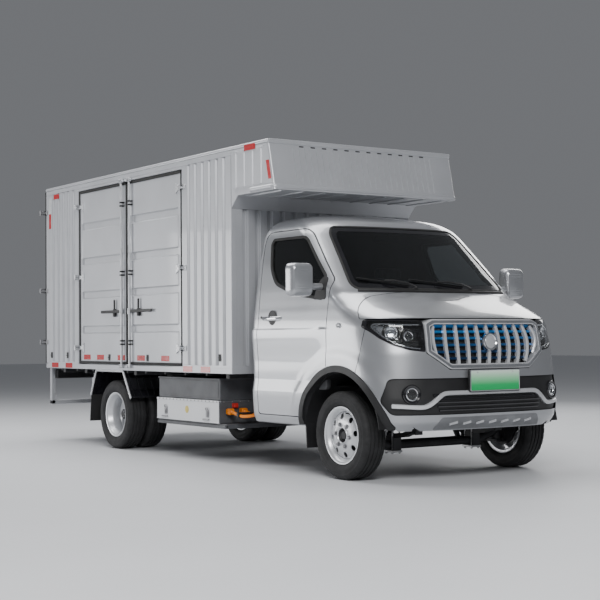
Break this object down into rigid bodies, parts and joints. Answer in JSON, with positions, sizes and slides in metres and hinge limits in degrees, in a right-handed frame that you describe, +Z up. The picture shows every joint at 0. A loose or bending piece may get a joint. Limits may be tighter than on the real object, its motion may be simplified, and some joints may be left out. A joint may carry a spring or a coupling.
{
  "type": "electric mini truck",
  "caption": "Small electric delivery truck: rounded cab, corrugated van body with a peak over the cab, opening doors and bonnet, steered front wheels, twin rear wheels.",
  "frame": {"origin": "on the ground under the middle of the truck's overall box", "axes": "+Z up, the truck faces -Y, its left side is +X"},
  "size_m": [2.14, 5.492, 2.415],
  "materials": {
    "cab_paint": "silver grey metallic, gloss",
    "box_paint": "light silver grey, satin",
    "black_plastic": "textured black",
    "chassis_black": "satin black",
    "glass": "lightly tinted",
    "tyre": "black rubber",
    "wheel_silver": "silver paint",
    "chrome": "bright",
    "lamp": "clear cover over chrome",
    "orange_cable": "orange sheath",
    "battery_case": "white grey, satin",
    "seat_fabric": "dark grey cloth",
    "machined_steel": "machined"
  },
  "bodies": {
    "chassis": {"battery_pack": "battery_case", "cab_shell": "cab_paint", "cargo_floor": "box_paint", "cargo_front_wall": "box_paint", "cargo_peak": "box_paint", "cargo_rear_frame": "box_paint", "cargo_roof": "box_paint", "cargo_wall_left": "box_paint", "cargo_wall_right": "box_paint", "chassis_frame": "chassis_black", "dashboard": "black_plastic", "front_axle": "chassis_black", "front_bumper": "cab_paint", "grille": "chrome", "headlamp_left": "lamp", "headlamp_right": "lamp", "hv_cables": "orange_cable", "junction_box": "chassis_black", "number_plate": "battery_case", "rear_axle": "chassis_black", "rear_mudguard_left": "black_plastic", "rear_mudguard_right": "black_plastic", "rear_underrun": "box_paint", "seats": "seat_fabric", "steering_wheel": "black_plastic", "windscreen": "glass"},
    "knuckle_left": {"knuckle_left": "chassis_black"},
    "front_wheel_left": {"front_rim_left": "wheel_silver", "front_tyre_left": "tyre"},
    "rear_wheel_left": {"rear_rims_left": "wheel_silver", "rear_tyre_outer_left": "tyre", "rear_tyre_inner_left": "tyre"},
    "cab_door_left": {"cab_door_left": "cab_paint", "door_glass_left": "glass", "mirror_left": "cab_paint"},
    "rear_door_left": {"rear_door_left": "box_paint"},
    "knuckle_right": {"knuckle_right": "chassis_black"},
    "front_wheel_right": {"front_rim_right": "wheel_silver", "front_tyre_right": "tyre"},
    "rear_wheel_right": {"rear_rims_right": "wheel_silver", "rear_tyre_outer_right": "tyre", "rear_tyre_inner_right": "tyre"},
    "cab_door_right": {"cab_door_right": "cab_paint", "door_glass_right": "glass", "mirror_right": "cab_paint"},
    "rear_door_right": {"rear_door_right": "box_paint"},
    "tie_rod": {"tie_rod": "machined_steel"},
    "bonnet": {"bonnet": "cab_paint"},
    "side_door_front": {"side_door_front": "box_paint"},
    "side_door_rear": {"side_door_rear": "box_paint"}
  },
  "joints": [
    {"name": "steer_right", "type": "hinge", "parent": "chassis", "child": "knuckle_right", "pos_m": [-0.6, -2.084, 0.3], "axis": [0, 0, 1], "range_deg": [-35, 35]},
    {"name": "steer_left", "type": "hinge", "parent": "chassis", "child": "knuckle_left", "pos_m": [0.6, -2.084, 0.3], "axis": [0, 0, 1], "range_deg": [-35, 35]},
    {"name": "tie_rod_pivot", "type": "hinge", "parent": "knuckle_right", "child": "tie_rod", "pos_m": [-0.6, -1.944, 0.227], "axis": [0, 0, 1], "range_deg": [-35, 35]},
    {"name": "front_wheel_right_spin", "type": "hinge", "parent": "knuckle_right", "child": "front_wheel_right", "pos_m": [-0.725, -2.084, 0.3], "axis": [1, 0, 0], "continuous": true},
    {"name": "front_wheel_left_spin", "type": "hinge", "parent": "knuckle_left", "child": "front_wheel_left", "pos_m": [0.725, -2.084, 0.3], "axis": [1, 0, 0], "continuous": true},
    {"name": "rear_wheel_right_spin", "type": "hinge", "parent": "chassis", "child": "rear_wheel_right", "pos_m": [-0.6425, 1.276, 0.3], "axis": [1, 0, 0], "continuous": true},
    {"name": "rear_wheel_left_spin", "type": "hinge", "parent": "chassis", "child": "rear_wheel_left", "pos_m": [0.6425, 1.276, 0.3], "axis": [1, 0, 0], "continuous": true},
    {"name": "cab_door_right_hinge", "type": "hinge", "parent": "chassis", "child": "cab_door_right", "pos_m": [-0.834, -1.959, 1], "axis": [0, 0, 1], "range_deg": [0, 65]},
    {"name": "cab_door_left_hinge", "type": "hinge", "parent": "chassis", "child": "cab_door_left", "pos_m": [0.834, -1.959, 1], "axis": [0, 0, -1], "range_deg": [0, 65]},
    {"name": "bonnet_hinge", "type": "hinge", "parent": "chassis", "child": "bonnet", "pos_m": [0, -2.182, 1.284], "axis": [-1, 0, 0], "range_deg": [0, 55]},
    {"name": "side_door_front_hinge", "type": "hinge", "parent": "chassis", "child": "side_door_front", "pos_m": [-0.884, -0.006, 1.529], "axis": [0, 0, 1], "range_deg": [0, 180]},
    {"name": "side_door_rear_hinge", "type": "hinge", "parent": "chassis", "child": "side_door_rear", "pos_m": [-0.884, 1.968, 1.529], "axis": [0, 0, -1], "range_deg": [0, 180]},
    {"name": "rear_door_right_hinge", "type": "hinge", "parent": "chassis", "child": "rear_door_right", "pos_m": [-0.9, 2.719, 1.559], "axis": [0, 0, -1], "range_deg": [-270, 0]},
    {"name": "rear_door_left_hinge", "type": "hinge", "parent": "chassis", "child": "rear_door_left", "pos_m": [0.9, 2.719, 1.559], "axis": [0, 0, -1], "range_deg": [0, 270]}
  ],
  "couplings": [
    {"joint": "steer_left", "follows": "steer_right", "ratio": 1},
    {"joint": "tie_rod_pivot", "follows": "steer_right", "ratio": -1}
  ]
}
